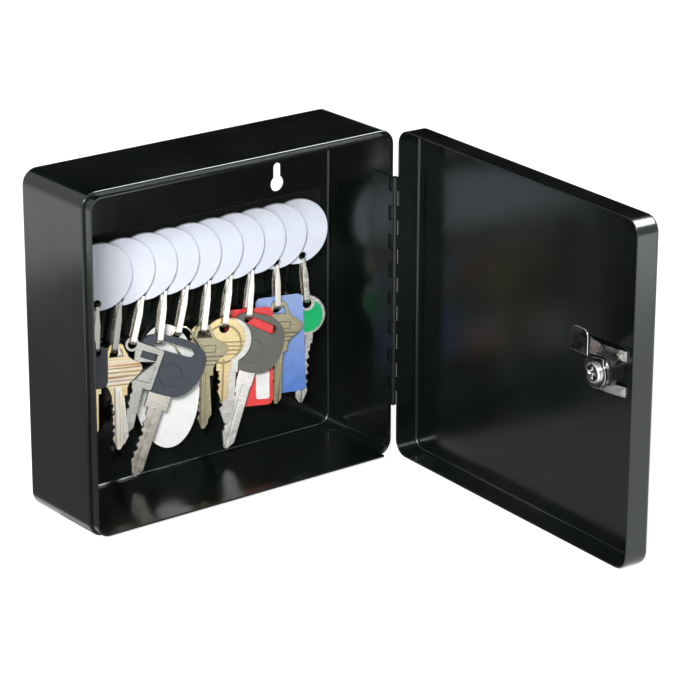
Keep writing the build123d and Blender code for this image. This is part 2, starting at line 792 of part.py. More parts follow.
# Set 1: dark moulded head on a brass blade
head_one = hang_plane(0, clip_mid[0], -3.0)
key_01_blade = grip_blade(
    head_one, centre=-1.6, top=-18.3 + tang_len, neck_half=4.4, neck_low=-21.0,
    half=3.1, low=-42.0, cuts=(1.0, 0.5, 1.4, 0.8),
)
save(key_01_blade, "key_01_blade")
with BuildPart() as key_01_head:
    with BuildSketch(head_one.offset(-grip_t / 2)):
        with Locations((-2.8, -8.0)):
            RectangleRounded(head_one_w, head_one_h, head_one_round)
        Circle(key_hole_r, mode=Mode.SUBTRACT)
    extrude(amount=grip_t)
    add(key_01_blade.part, mode=Mode.SUBTRACT)
save(key_01_head, "key_01_head")

# Set 2: brass shouldered key over a silver round one
key_02_front = shouldered_key(
    hang_plane(1, -0.2, -2.0, (1.1, 0.0)), flat_key_t, (0.8, 1.5, 0.6, 1.2, 1.0)
)
save(key_02_front, "key_02_front")
key_02_back = round_key(
    hang_plane(1, -2.05, 3.0), thin_key_t, bow_r=8.0, bow_at=(-0.2, -5.0),
    hole_r=key_hole_r, low=-47.0, half=3.6, cuts=(1.6, 0.9, 1.8, 1.0, 1.5),
)
save(key_02_back, "key_02_back")

# Set 3: steel key with a slotted rectangular head
plane_three = hang_plane(2, clip_mid[2], -17.0)
with BuildPart() as key_03:
    with BuildSketch(plane_three.offset(-steel_key_t / 2)):
        with BuildLine():
            Polyline((1.7, 1.8), (17.4, -0.2), (15.0, -21.4), (4.1, -19.4), close=True)
        make_face()
        fillet(vertices(), radius=1.4)
    extrude(amount=steel_key_t)
    with BuildSketch(plane_three.offset(-steel_key_t / 2)):
        Circle(3.6)
        with Locations((2.6, -0.6)):
            Rectangle(3.6, 4.6)
        with BuildLine():
            Polyline(blade_outline(-18.0, 2.9, -43.5, (1.0, 0.6, 1.2, 0.7), -1, -7.6), close=True)
        make_face()
    extrude(amount=steel_key_t)
    with BuildSketch(plane_three.offset(-steel_key_t / 2)):
        Circle(key_hole_r - 0.2)
        with Locations((10.0, -4.2)):
            Rectangle(window_w, window_h, rotation=-6)
    extrude(amount=steel_key_t, mode=Mode.SUBTRACT)
    with BuildSketch(plane_three.offset(steel_key_t / 2)):
        with Locations((10.0, -13.0)):
            Rectangle(panel_w, panel_h, rotation=-6)
            Rectangle(
                panel_w - 2 * panel_line, panel_h - 2 * panel_line, rotation=-6,
                mode=Mode.SUBTRACT,
            )
    extrude(amount=-groove_d, mode=Mode.SUBTRACT)
save(key_03, "key_03")

# Set 4: large dark moulded head, long pale blade
plane_four = hang_plane(3, clip_mid[3], -22.0, (5.1, -17.0))
key_04_blade = grip_blade(
    plane_four, centre=-2.1, top=-10.4 + tang_len, neck_half=6.0, neck_low=-18.0,
    half=key_04_half, low=key_04_low, cuts=(1.2, 0.6, 1.6, 0.9, 1.4, 0.7),
)
save(key_04_blade, "key_04_blade")
key_04_head = grip_head(
    plane_four, key_04_outline,
    slot_at=key_04_slot, slot_len=key_04_slot_len, slot_turn=0.0, blade=key_04_blade,
)
save(key_04_head, "key_04_head")

# Set 5: blank white oval fob with a long wire ring
with BuildPart() as fob:
    with BuildSketch(hang_plane(4, -1.35 - fob_t / 2)):
        with Locations((-6.6, -25.6)):
            Ellipse(fob_w / 2, fob_h / 2)
        with Locations((-0.4, -0.4)):
            Circle(tag_hole_r, mode=Mode.SUBTRACT)
    extrude(amount=fob_t)
save(fob, "fob")
ring_plane = hang_plane(4, 0.0, -60.0, (2.4, -1.8))
with BuildPart() as fob_ring:
    with BuildLine(ring_plane) as ring_path:
        Line((0, ring_r), (ring_straight, ring_r))
        CenterArc((ring_straight, 0), ring_r, 90, -180)
        Line((ring_straight, -ring_r), (0, -ring_r))
        CenterArc((0, 0), ring_r, 270, -180)
    with BuildSketch(Plane(origin=ring_path.line @ 0, z_dir=ring_path.line % 0)):
        Circle(wire_r)
    sweep(path=ring_path.line)
save(fob_ring, "fob_ring")

# Set 6: nickel shouldered key over a thin cut key
key_06_front = shouldered_key(
    hang_plane(5, 0.4, -4.0, (0.6, -0.2)), flat_key_t, (1.2, 0.6, 1.5, 0.8, 1.3)
)
save(key_06_front, "key_06_front")
key_06_back = round_key(
    hang_plane(5, -1.35, 0.0), cut_key_t, bow_r=key_06_back_bow, bow_at=(-0.4, -1.4),
    hole_r=key_hole_r, low=key_06_back_low, half=key_06_back_half,
    cuts=(1.4, 0.8, 1.7, 1.1, 1.6, 0.9),
)
save(key_06_back, "key_06_back")

# Set 7: brass round-bow key over a silver one
key_07_front = round_key(
    hang_plane(6, 0.49, -5.0), bow_key_t, bow_r=key_07_front_bow, bow_at=(0.6, -6.4),
    hole_r=key_hole_r + 0.1, low=key_07_front_low, half=key_07_front_half, cuts=(1.1, 0.6, 1.4, 0.8),
)
save(key_07_front, "key_07_front")
key_07_back = round_key(
    hang_plane(6, -1.16, -6.0), thin_key_t, bow_r=key_07_back_bow, bow_at=(4.4, -7.4),
    hole_r=key_hole_r + 0.6, low=key_07_back_low, half=key_07_back_half, cuts=(1.5, 0.7, 1.9, 1.0, 1.6),
)
save(key_07_back, "key_07_back")

# Set 8: large grey moulded head with a bright blade, and a red card
plane_eight = hang_plane(7, -0.21, -20.0, (1.4, -16.7))
key_08_blade = grip_blade(
    plane_eight, centre=0.6, top=-10.8 + tang_len, neck_half=4.4, neck_low=-17.4,
    half=key_08_half, low=key_08_low, cuts=(1.3, 0.7, 1.5, 0.9, 1.2, 0.6),
)
save(key_08_blade, "key_08_blade")
key_08_head = grip_head(
    plane_eight, key_08_outline,
    slot_at=key_08_slot, slot_len=key_08_slot_len, slot_turn=-9.0, blade=key_08_blade,
)
save(key_08_head, "key_08_head")
with BuildPart() as card_red:
    with BuildSketch(hang_plane(7, -2.36 - card_t / 2, -2.5)):
        with Locations((1.6, -20.4)):
            RectangleRounded(card_w, card_h, card_round)
        Circle(key_hole_r, mode=Mode.SUBTRACT)
    extrude(amount=card_t)
save(card_red, "card_red")

# Set 9: nickel shouldered key over a blue card
key_09 = shouldered_key(
    hang_plane(8, -0.22, -5.0, (1.0, -0.5)), flat_key_t, (0.7, 1.4, 0.9, 1.5, 0.6)
)
save(key_09, "key_09")
with BuildPart() as card_blue:
    with BuildSketch(hang_plane(8, -1.77 - card_t / 2)):
        with Locations((1.8, -19.3)):
            RectangleRounded(card_w, card_h, card_round)
        Circle(key_hole_r, mode=Mode.SUBTRACT)
    extrude(amount=card_t)
save(card_blue, "card_blue")

# Set 10: round-bow key with a green moulded cap
plane_ten = hang_plane(9, 0.37, -6.5)
key_10 = round_key(
    plane_ten, bow_key_t, bow_r=key_10_bow, bow_at=(0.4, -6.5), hole_r=key_hole_r,
    low=key_10_low, half=key_10_half, cuts=(0.0, 0.9, 1.5, 1.1, 1.7, 0.8), flip=1,
)
save(key_10, "key_10")
with BuildPart() as key_10_cap:
    with BuildSketch(plane_ten.offset(bow_key_t / 2)):
        with Locations((0.4, -6.8)):
            Circle(cap_r)
        Circle(cap_hole_r, mode=Mode.SUBTRACT)
    extrude(amount=cap_t)
save(key_10_cap, "key_10_cap")
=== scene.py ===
"""Looks for a wall-mounted steel key and cash box, shown open with its keys hanging inside.

Lengths are in metres, in the part's own frame: X to the right, -Y out of the box, Z up,
with the origin on the wall, at the centre of the case's back.
"""

from math import cos, pi, radians, sin

import bmesh
import bpy
from bpy.props import FloatProperty, FloatVectorProperty, PointerProperty
from mathutils import Matrix, Vector


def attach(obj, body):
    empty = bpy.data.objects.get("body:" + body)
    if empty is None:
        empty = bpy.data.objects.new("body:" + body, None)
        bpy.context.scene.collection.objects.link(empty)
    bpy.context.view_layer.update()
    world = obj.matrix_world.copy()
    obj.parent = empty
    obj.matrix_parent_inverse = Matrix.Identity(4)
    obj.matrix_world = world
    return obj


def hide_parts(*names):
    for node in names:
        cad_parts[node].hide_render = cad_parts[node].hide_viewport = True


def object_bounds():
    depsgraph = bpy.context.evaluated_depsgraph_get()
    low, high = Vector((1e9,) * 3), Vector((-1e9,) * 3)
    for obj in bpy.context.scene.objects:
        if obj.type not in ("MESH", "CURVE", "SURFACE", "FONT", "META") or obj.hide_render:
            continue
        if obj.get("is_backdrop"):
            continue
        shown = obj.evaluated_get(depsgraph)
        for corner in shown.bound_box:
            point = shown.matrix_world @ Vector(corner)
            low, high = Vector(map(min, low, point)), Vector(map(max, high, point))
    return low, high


bl_info = {
    "name": "Key and cash box",
    "version": (1, 0, 0),
    "blender": (4, 5, 0),
    "location": "View3D > Sidebar > Key box",
    "description": "Dresses a steel key box with its tags, clips, keys, cards and lock",
    "category": "Object",
}

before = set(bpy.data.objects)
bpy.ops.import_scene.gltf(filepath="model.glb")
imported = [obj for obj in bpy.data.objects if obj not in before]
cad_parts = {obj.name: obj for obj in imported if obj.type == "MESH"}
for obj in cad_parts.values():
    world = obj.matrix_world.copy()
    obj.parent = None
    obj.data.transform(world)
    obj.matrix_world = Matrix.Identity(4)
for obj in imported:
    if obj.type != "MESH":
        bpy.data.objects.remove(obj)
cad_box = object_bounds()

# Directions that the hanging pieces and the tags face.
HANG_NORMAL = Vector((-0.2574, -0.9606, 0.1045))
TAG_NORMAL = Vector((-0.1788, -0.9839, 0.0))


def plane(origin, across, normal=HANG_NORMAL):
    """Matrix of a plane from its origin, its X direction and its normal."""
    z = Vector(normal).normalized()
    x = Vector(across)
    x = (x - z * x.dot(z)).normalized()
    y = z.cross(x)
    turn = Matrix((x, y, z)).transposed().to_4x4()
    return Matrix.Translation(Vector(origin)) @ turn


# Plane of each hanging piece: its origin and its X direction.
KEY_PLANES = {
    "key_01": plane((-0.05707, -0.00744, -0.01138), (0.9632, -0.2637, -0.052)),
    "key_02_front": plane((-0.04539, -0.0081, -0.01399), (0.9644, -0.2622, -0.0347)),
    "key_02_back": plane((-0.04598, -0.00604, -0.01418), (0.966, -0.2532, 0.052)),
    "key_03": plane((-0.03514, -0.00675, -0.01223), (0.9158, -0.277, -0.2908)),
    "key_04": plane((-0.01594, -0.01102, -0.03147), (0.8855, -0.2778, -0.3726)),
    "fob": plane((-0.00817, -0.00576, -0.01315), (0.9659, -0.2588, 0.0)),
    "key_06_front": plane((0.00645, -0.00858, -0.01502), (0.9617, -0.2652, -0.0694)),
    "key_06_back": plane((0.00633, -0.00672, -0.015), (0.9659, -0.2588, 0.0)),
    "key_07_front": plane((0.01878, -0.00836, -0.01431), (0.9599, -0.2666, -0.0867)),
    "key_07_back": plane((0.0192, -0.00678, -0.01449), (0.9578, -0.268, -0.104)),
    "key_08": plane((0.03463, -0.01007, -0.0302), (0.8984, -0.2777, -0.3401)),
    "card_red": plane((0.03436, -0.00567, -0.01385), (0.9638, -0.263, -0.0434)),
    "key_09": plane((0.05252, -0.00916, -0.01205), (0.9599, -0.2666, -0.0867)),
    "card_blue": plane((0.05204, -0.00707, -0.01174), (0.9659, -0.2588, 0.0)),
    "key_10": plane((0.06891, -0.01033, -0.01136), (0.9567, -0.2686, -0.1126)),
}

# The row of tags: centre of the first one, step to the next, how many there are, their turn
# in degrees, and how far to the side each clip's hole sits.
TAG_FIRST = Vector((-0.0531, -0.0069, 0.026))
TAG_PITCH = 0.0132
TAG_COUNT = 10
TAG_TURN = 10.3
TAG_HOLE_SIDES = [-0.002] * 8 + [0.0, 0.003]

# One tag: its hole's distance from the edge, the ring round its label and the steps beside
# that ring, and the rounding of its edges.
TAG_HOLE_FROM_EDGE = 0.0033
TAG_STEP_WIDTH = 0.0003
TAG_RING_WIDTH = 0.0007
TAG_RING_FROM_LABEL = 0.0016
TAG_RING_HEIGHT = 0.0001
TAG_LABEL_SINK = 0.00012
TAG_EDGE = 0.00028

# The blank label on the red card: width, height and thickness, corners, and centre.
LABEL_SIZE = (0.0072, 0.0145, 0.00012)
LABEL_CORNER = 0.0012
LABEL_PLACE = (0.0088, -0.0352, 0.00066)

# Engraving on the keys, in the keys' own planes. Bands are top, bottom and pitch; a panel is
# left, right, low and high; a groove is middle, half width and top; plating is the bow's low
# and high, the blade's half width and the colour of the worn bands; rims are the height of
# the middle and the radii.
BOW_BANDS = (-0.0064, -0.0165, 0.0021)
LOW_BANDS = (-0.0105, -0.0165, 0.0021)
ROUND_BANDS = (-0.0062, -0.0150, 0.0021)
BOW_PANEL = (-0.0075, 0.0065, -0.0100, -0.0062)
LEFT_GROOVE = (-0.0014, 0.0005, -0.0175)
RIGHT_GROOVE = (0.0004, 0.0005, -0.0165)
BOW_PLATING = (-0.0172, -0.002, 0.0023, (0.42, 0.2, 0.12))
ROUND_RIMS = (-0.0088, (0.0092, 0.0098))
PANEL_LINE = 0.00045
RIM_HALF_LINE = 0.00025
ENGRAVING_DEPTH = 0.00012

# Rounding along the edges of the pieces that have no setting of their own.
EDGES = {
    "case_pan": 0.0002, "strike": 0.00015, "door_pan": 0.0002, "hinge_leaf": 0.00012,
    "lock_body": 0.0003, "lock_plug": 0.0001, "lock_washer": 0.0002, "lock_cam": 0.0003,
    "cam_screw": 0.0001, "lock_clip": 0.00016, "loop_strip": 0.0002, "key_10_cap": 0.0001,
    "fob": 0.00012, "card": 0.00008,
}

# Meshes from the part: points nearer than this are one, and faces this close to flat merge.
WELD_WITHIN = 0.000002
FLAT_WITHIN = 0.4

# Lamps: name, place, target, width and height, watts, and whether only reflections see it.
LAMPS = (
    ("key_light", (-1.4, -1.45, 1.2), (0.0, 0.0, 0.0), (0.55, 0.55), 57.0, False),
    ("lip_light", (1.0, -0.6, 1.3), (0.0, -0.05, 0.0), (0.9, 0.9), 70.0, True),
    ("front_light", (0.22, -1.5, 0.1), (0.03, 0.0, -0.03), (0.9, 0.36), 1.5, True),
)

# The dark card behind the box: place, target, width and height.
DARK_CARD = ((0.9, 1.15, 0.95), (0.0, 0.0, 0.05), 2.6, 1.7)

# Glowing cards that lie just above the floor: name, X, Y, width, height and glow.
FLOOR_CARDS = (
    ("bright_front", 0.52, -0.82, 0.5, 0.5, 3.6),
    ("grey_side", -0.22, 0.05, 0.25, 0.5, 0.3),
    ("grey_front", 0.0, -0.12, 0.18, 0.2, 0.36),
)
CARD_LIFT = 0.0004

# Floor, surroundings and camera.
FLOOR_RADIUS = 6.0
FLOOR_DROP = 0.0002
FLOOR_GLOW = 0.72
SKY_COLOUR = (0.97, 0.99, 1.0, 1.0)
SKY_STRENGTH = 0.36
CAMERA_PLACE = (-0.8399, -1.21128, 0.50773)
CAMERA_HEADING = -37.77
CAMERA_DIP = 19.87
CAMERA_ROLL = 0.15
CAMERA_LENS = 162.32
CAMERA_SENSOR = 36.0


# Settings that a user may change


class KeyBoxSizes(bpy.types.PropertyGroup):
    tag_radius: FloatProperty(
        name="Tag radius", description="Radius of one round tag", default=0.017, unit="LENGTH"
    )
    tag_thickness: FloatProperty(
        name="Tag thickness", description="Thickness of one tag", default=0.0018, unit="LENGTH"
    )
    tag_rim: FloatProperty(
        name="Tag rim", description="Width of the raised rim of a tag", default=0.0013,
        unit="LENGTH",
    )
    tag_label: FloatProperty(
        name="Tag label radius", description="Radius of the recess for a paper label",
        default=0.0105, unit="LENGTH",
    )
    tag_hole: FloatProperty(
        name="Tag hole radius", description="Radius of the hole for the clip", default=0.0023,
        unit="LENGTH",
    )
    key_edge: FloatProperty(
        name="Key edge", description="Rounding along the edges of the keys", default=0.00018,
        unit="LENGTH",
    )
    grip_edge: FloatProperty(
        name="Grip edge", description="Rounding along the edges of the moulded key heads",
        default=0.0007, unit="LENGTH",
    )
    clip_edge: FloatProperty(
        name="Clip edge", description="Rounding along the edges of the clips",
        default=0.00012, unit="LENGTH",
    )
    peel: FloatProperty(
        name="Enamel texture", description="Size of the fine unevenness of the enamel",
        default=0.0011, unit="LENGTH",
    )


class KeyBoxColours(bpy.types.PropertyGroup):
    enamel: FloatVectorProperty(
        name="Enamel", description="Black enamel of the case and the door", subtype="COLOR",
        default=(0.0032, 0.0048, 0.0037), size=3,
    )
    tag: FloatVectorProperty(
        name="Tags", description="Bluish white plastic of the tags", subtype="COLOR",
        default=(0.76, 0.80, 0.90), size=3,
    )
    brass: FloatVectorProperty(
        name="Brass", description="Brass of the yellow keys", subtype="COLOR",
        default=(0.68, 0.55, 0.30), size=3,
    )
    olive: FloatVectorProperty(
        name="Nickel brass", description="Yellowish nickel of the shouldered keys",
        subtype="COLOR", default=(0.50, 0.46, 0.30), size=3,
    )
    silver: FloatVectorProperty(
        name="Nickel silver", description="Pale metal of the cut blades", subtype="COLOR",
        default=(0.74, 0.73, 0.70), size=3,
    )
    slate: FloatVectorProperty(
        name="Dark grip", description="Plastic of the dark key heads", subtype="COLOR",
        default=(0.042, 0.050, 0.064), size=3,
    )
    grey: FloatVectorProperty(
        name="Grey grip", description="Plastic of the grey key head", subtype="COLOR",
        default=(0.122, 0.124, 0.106), size=3,
    )
    red: FloatVectorProperty(
        name="Red card", description="Ink of the red card", subtype="COLOR",
        default=(0.75, 0.045, 0.045), size=3,
    )
    blue: FloatVectorProperty(
        name="Blue card", description="Ink of the blue card", subtype="COLOR",
        default=(0.075, 0.18, 0.54), size=3,
    )
    green: FloatVectorProperty(
        name="Green cap", description="Plastic of the green cap", subtype="COLOR",
        default=(0.005, 0.40, 0.13), size=3,
    )


# Materials


class Finish:
    """A node material built round one Principled shader."""

    def __init__(self, name, colour, metallic, roughness, specular=0.5):
        self.material = bpy.data.materials.new(name)
        self.material.use_nodes = True
        self.material.diffuse_color = (*colour, 1.0)
        self.nodes = self.material.node_tree.nodes
        self.links = self.material.node_tree.links
        self.shader = self.nodes["Principled BSDF"]
        self.set("Base Color", (*colour, 1.0))
        self.set("Metallic", metallic)
        self.set("Roughness", roughness)
        self.set("Specular IOR Level", specular)

    def set(self, socket, value):
        """Set one of the shader's own values."""
        self.shader.inputs[socket].default_value = value

    def join(self, output, socket):
        """Feed one of the shader's inputs."""
        self.links.new(output, self.shader.inputs[socket])

    def add(self, kind, inputs=None, **settings):
        """Add a node; inputs are values or outputs of other nodes."""
        node = self.nodes.new(kind)
        for key, value in settings.items():
            setattr(node, key, value)
        for key, value in (inputs or {}).items():
            if isinstance(value, bpy.types.NodeSocket):
                self.links.new(value, node.inputs[key])
            else:
                node.inputs[key].default_value = value
        return node

    def place(self, matrix=None, stretch=(1.0, 1.0, 1.0)):
        """Object coordinates, read in a piece's own plane and stretched."""
        vector = self.add("ShaderNodeTexCoord").outputs["Object"]
        if matrix is not None:
            settle = self.add("ShaderNodeMapping", {"Vector": vector}, vector_type="TEXTURE")
            settle.inputs["Location"].default_value = matrix.to_translation()
            settle.inputs["Rotation"].default_value = matrix.to_euler()
            vector = settle.outputs["Vector"]
        scaled = self.add("ShaderNodeMapping", {"Vector": vector, "Scale": stretch})
        return scaled.outputs["Vector"]

    def noise(self, vector, size, detail=2.0, roughness=0.5):
        """Noise whose features are about this size."""
        return self.add(
            "ShaderNodeTexNoise",
            {"Vector": vector, "Scale": 1.0 / size, "Detail": detail, "Roughness": roughness},
        ).outputs["Fac"]

    def span(self, value, low, high, to_low=0.0, to_high=1.0):
        """Stretch one range of values over another."""
        return self.add(
            "ShaderNodeMapRange",
            {"Value": value, "From Min": low, "From Max": high, "To Min": to_low,
             "To Max": to_high},
        ).outputs["Result"]

    def mix(self, factor, first, second):
        """Blend two colours by another node's output."""
        node = self.add("ShaderNodeMix", {0: factor}, data_type="RGBA")
        for index, value in ((6, first), (7, second)):
            if isinstance(value, bpy.types.NodeSocket):
                self.links.new(value, node.inputs[index])
            else:
                node.inputs[index].default_value = (*value, 1.0)
        return node.outputs[2]

    def maths(self, operation, first, second=0.0):
        """One sum on one or two values."""
        return self.add(
            "ShaderNodeMath", {0: first, 1: second}, operation=operation
        ).outputs["Value"]

    def bump(self, height, distance, under=None):
        """Relief from a height, over another relief if there is one."""
        inputs = {"Height": height, "Distance": distance, "Strength": 1.0}
        if under is not None:
            inputs["Normal"] = under
        return self.add("ShaderNodeBump", inputs).outputs["Normal"]

    def axis(self, vector, name):
        """One coordinate of a vector."""
        return self.add("ShaderNodeSeparateXYZ", {"Vector": vector}).outputs[name]

    def inside(self, value, low, high):
        """1 where a value lies between two limits, else 0."""
        above = self.maths("GREATER_THAN", value, low)
        below = self.maths("LESS_THAN", value, high)
        return self.maths("MULTIPLY", above, below)

    def either(self, first, second):
        """Where one mask or the other is 1; the first may be missing."""
        return second if first is None else self.maths("MAXIMUM", first, second)

    def vector(self, operation, inputs, output="Vector"):
        """One sum on vectors."""
        return self.add(
            "ShaderNodeVectorMath", dict(enumerate(inputs)), operation=operation
        ).outputs[output]


def scaled(colour, factor):
    """A colour made lighter or darker."""
    return tuple(part * factor for part in colour)


def enamel(name, colour, peel, roughness=0.2):
    """Satin black enamel on steel, with a fine peel and faint clouding."""
    look = Finish(name, colour, 0.0, roughness, 0.56)
    look.set("Specular Tint", (0.93, 1.0, 0.955, 1.0))
    cloud = look.noise(look.place(), 0.05, 3.0)
    look.join(look.mix(look.span(cloud, 0.35, 0.65), scaled(colour, 0.8), scaled(colour, 1.3)),
              "Base Color")
    fine = look.noise(look.place(), peel, 2.0)
    smear = look.noise(look.place(stretch=(1.0, 1.0, 0.35)), 0.03, 4.0)
    look.join(look.span(smear, 0.3, 0.7, roughness - 0.05, roughness + 0.06), "Roughness")
    look.join(look.bump(fine, 0.000009), "Normal")
    return look.material


def bright_metal(name, colour, roughness, grain=(1.0, 1.0, 0.1)):
    """Plated metal with faint draw lines and dull patches."""
    look = Finish(name, colour, 1.0, roughness)
    lines = look.noise(look.place(stretch=grain), 0.00035, 3.0)
    patch = look.noise(look.place(), 0.004, 3.0)
    look.join(look.mix(look.span(patch, 0.3, 0.7), scaled(colour, 0.86), scaled(colour, 1.1)),
              "Base Color")
    look.join(look.span(patch, 0.3, 0.75, roughness * 0.7, roughness * 1.7), "Roughness")
    look.join(look.bump(lines, 0.000003), "Normal")
    return look.material


def key_metal(name, colour, key, roughness, bands=None, panel=None, groove=None,
              plating=None, rims=None):
    """Worn key metal, engraved across the bow and milled along the blade, its grooves painted
    darker as shade.
    """
    look = Finish(name, colour, 1.0, roughness)
    matrix = KEY_PLANES[key]
    local = look.place(matrix)
    across = look.axis(local, "X")
    along = look.axis(local, "Y")
    brushed = look.noise(look.place(matrix, stretch=(1.0, 0.08, 1.0)), 0.0003, 3.0)
    patch = look.noise(local, 0.0035, 4.0, 0.6)
    worn = look.mix(look.span(patch, 0.32, 0.68), scaled(colour, 0.86), scaled(colour, 1.12))
    relief = look.bump(brushed, 0.000007)
    dark = look.span(look.noise(local, 0.009, 3.0), 0.4, 0.7, 0.0, 0.22)
    tone = look.mix(dark, worn, scaled(colour, 0.6))
    lines = look.noise(look.place(matrix, stretch=(0.06, 1.0, 0.06)), 0.0006, 2.0)
    tone = look.mix(look.span(lines, 0.42, 0.68, 0.0, 0.45), tone, scaled(colour, 0.5))
    if plating is not None:
        low, high, half, worn_band = plating
        blade = look.maths(
            "MULTIPLY", look.maths("LESS_THAN", along, low), look.inside(across, -half, half)
        )
        on_bow = look.inside(along, low, high)
        bow = look.place(matrix, stretch=(0.02, 1.0, 0.02))
        stripe = look.maths("MULTIPLY", look.span(look.noise(bow, 0.0013, 1.0), 0.44, 0.54),
                            on_bow)
        tone = look.mix(look.maths("MULTIPLY", stripe, 0.8), tone, (0.62, 0.58, 0.53))
        copper = look.span(look.noise(bow, 0.0019, 0.0), 0.56, 0.64)
        tone = look.mix(look.maths("MULTIPLY", copper, on_bow), tone, worn_band)
        tone = look.mix(look.maths("MULTIPLY", blade, 0.85), tone, (0.68, 0.66, 0.62))
    marks = None
    if bands is not None:
        top, bottom, pitch = bands
        ridge = look.maths("SINE", look.maths("MULTIPLY", along, 2 * pi / pitch))
        marks = look.maths("MULTIPLY", look.maths("GREATER_THAN", ridge, 0.55),
                           look.inside(along, bottom, top))
    if panel is not None:
        left, right, low, high = panel
        line = PANEL_LINE
        outer = look.maths(
            "MULTIPLY", look.inside(across, left, right), look.inside(along, low, high)
        )
        inner = look.maths(
            "MULTIPLY", look.inside(across, left + line, right - line),
            look.inside(along, low + line, high - line),
        )
        marks = look.either(marks, look.maths("SUBTRACT", outer, inner))
    if groove is not None:
        middle, half, top = groove
        milled = look.maths("MULTIPLY", look.inside(across, middle - half, middle + half),
                            look.maths("LESS_THAN", along, top))
        marks = look.either(marks, milled)
    if rims is not None:
        middle, radii = rims
        from_middle = look.vector("SUBTRACT", (local, (0.0, middle, 0.0)))
        flat = look.vector("MULTIPLY", (from_middle, (1.0, 1.0, 0.0)))
        reach = look.vector("LENGTH", (flat,), "Value")
        for radius in radii:
            ring = look.inside(reach, radius - RIM_HALF_LINE, radius + RIM_HALF_LINE)
            marks = look.either(marks, ring)
    if marks is not None:
        # The engraved and milled grooves get a darker colour as well as their sunk relief:
        # painted shade in the grooves.
        tone = look.mix(look.maths("MULTIPLY", marks, 0.7), tone, scaled(colour, 0.24))
        relief = look.bump(look.maths("SUBTRACT", 1.0, marks), ENGRAVING_DEPTH, relief)
    look.join(tone, "Base Color")
    look.join(look.span(patch, 0.3, 0.7, roughness * 0.75, roughness * 1.35), "Roughness")
    look.join(relief, "Normal")
    return look.material


def moulded(name, colour, roughness, grain=0.0004, specular=0.4, mottle=0.08):
    """Moulded plastic with a fine grain and handling marks."""
    look = Finish(name, colour, 0.0, roughness, specular)
    pores = look.noise(look.place(), grain, 2.0)
    handled = look.noise(look.place(), 0.006, 4.0)
    look.join(
        look.mix(look.span(handled, 0.35, 0.7), scaled(colour, 1 - mottle),
                 scaled(colour, 1 + mottle)),
        "Base Color",
    )
    look.join(look.span(handled, 0.3, 0.7, roughness - 0.06, roughness + 0.08), "Roughness")
    look.join(look.bump(pores, 0.000008), "Normal")
    return look.material


def printed_card(name, colour, key, fade=0.0):
    """Thin laminated card, its ink paler toward the top where fade is above 0."""
    look = Finish(name, colour, 0.0, 0.25)
    local = look.place(KEY_PLANES[key])
    height = look.span(look.axis(local, "Y"), -0.045, 0.006, 0.0, fade)
    mottle = look.span(look.noise(local, 0.005, 3.0), 0.35, 0.65)
    ink = look.mix(mottle, scaled(colour, 0.9), scaled(colour, 1.1))
    look.join(look.mix(height, ink, (0.45, 0.55, 0.75)), "Base Color")
    bow = look.noise(look.place(KEY_PLANES[key], stretch=(1.0, 0.4, 1.0)), 0.012, 1.0)
    look.join(look.bump(bow, 0.00025), "Normal")
    return look.material


def looped_pile(name):
    """Black looped pile of the strip that the tags are pressed on."""
    look = Finish(name, (0.006, 0.0065, 0.0065), 0.0, 0.9, 0.2)
    cells = look.add(
        "ShaderNodeTexVoronoi", {"Vector": look.place(), "Scale": 1400.0}
    ).outputs["Distance"]
    look.join(
        look.mix(look.span(cells, 0.0, 0.8), (0.012, 0.013, 0.013), (0.002, 0.002, 0.002)),
        "Base Color",
    )
    look.join(look.bump(cells, 0.0004), "Normal")
    look.set("Sheen Weight", 0.15)
    look.set("Sheen Roughness", 0.5)
    return look.material


# Modelling helpers


def clear_selection():
    """Leave edit mode and select nothing."""
    if bpy.context.object and bpy.context.object.mode != "OBJECT":
        bpy.ops.object.mode_set(mode="OBJECT")
    bpy.ops.object.select_all(action="DESELECT")


def make_active(piece):
    """Select one piece alone."""
    clear_selection()
    piece.select_set(True)
    bpy.context.view_layer.objects.active = piece


def apply_bevel(piece, width, segments, limit=35.0):
    """Round the sharp edges of a piece."""
    make_active(piece)
    round_off = piece.modifiers.new("edge", "BEVEL")
    round_off.width = width
    round_off.segments = segments
    round_off.limit_method = "ANGLE"
    round_off.angle_limit = radians(limit)
    round_off.use_clamp_overlap = False
    round_off.miter_outer = "MITER_ARC"
    bpy.ops.object.modifier_apply(modifier=round_off.name)


def finish_piece(piece, body, material, smooth=30.0):
    """Smooth a piece with its flats kept flat, give it its material and tie it to its body."""
    make_active(piece)
    bpy.ops.object.transform_apply(location=True, rotation=True, scale=True)
    bpy.ops.object.shade_smooth_by_angle(angle=radians(smooth))
    even = piece.modifiers.new("even", "WEIGHTED_NORMAL")
    even.mode = "FACE_AREA"
    even.keep_sharp = True
    bpy.ops.object.modifier_apply(modifier=even.name)
    piece.data.materials.clear()
    piece.data.materials.append(material)
    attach(piece, body)


def soften(node, width, body, material, segments=2, smooth=32.0):
    """Rounded copy of one piece of the part, shown in its place."""
    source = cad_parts[node]
    mesh = source.data.copy()
    piece = bpy.data.objects.new(f"{node}_dressed", mesh)
    bpy.context.collection.objects.link(piece)
    make_active(piece)
    bpy.ops.object.mode_set(mode="EDIT")
    bpy.ops.mesh.select_all(action="SELECT")
    bpy.ops.mesh.customdata_custom_splitnormals_clear()
    bpy.ops.mesh.remove_doubles(threshold=WELD_WITHIN)
    bpy.ops.mesh.dissolve_limited(angle_limit=radians(FLAT_WITHIN))
    bpy.ops.object.mode_set(mode="OBJECT")
    if width > 0:
        apply_bevel(piece, width, segments)
    finish_piece(piece, body, material, smooth)
    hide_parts(node)


# The pieces


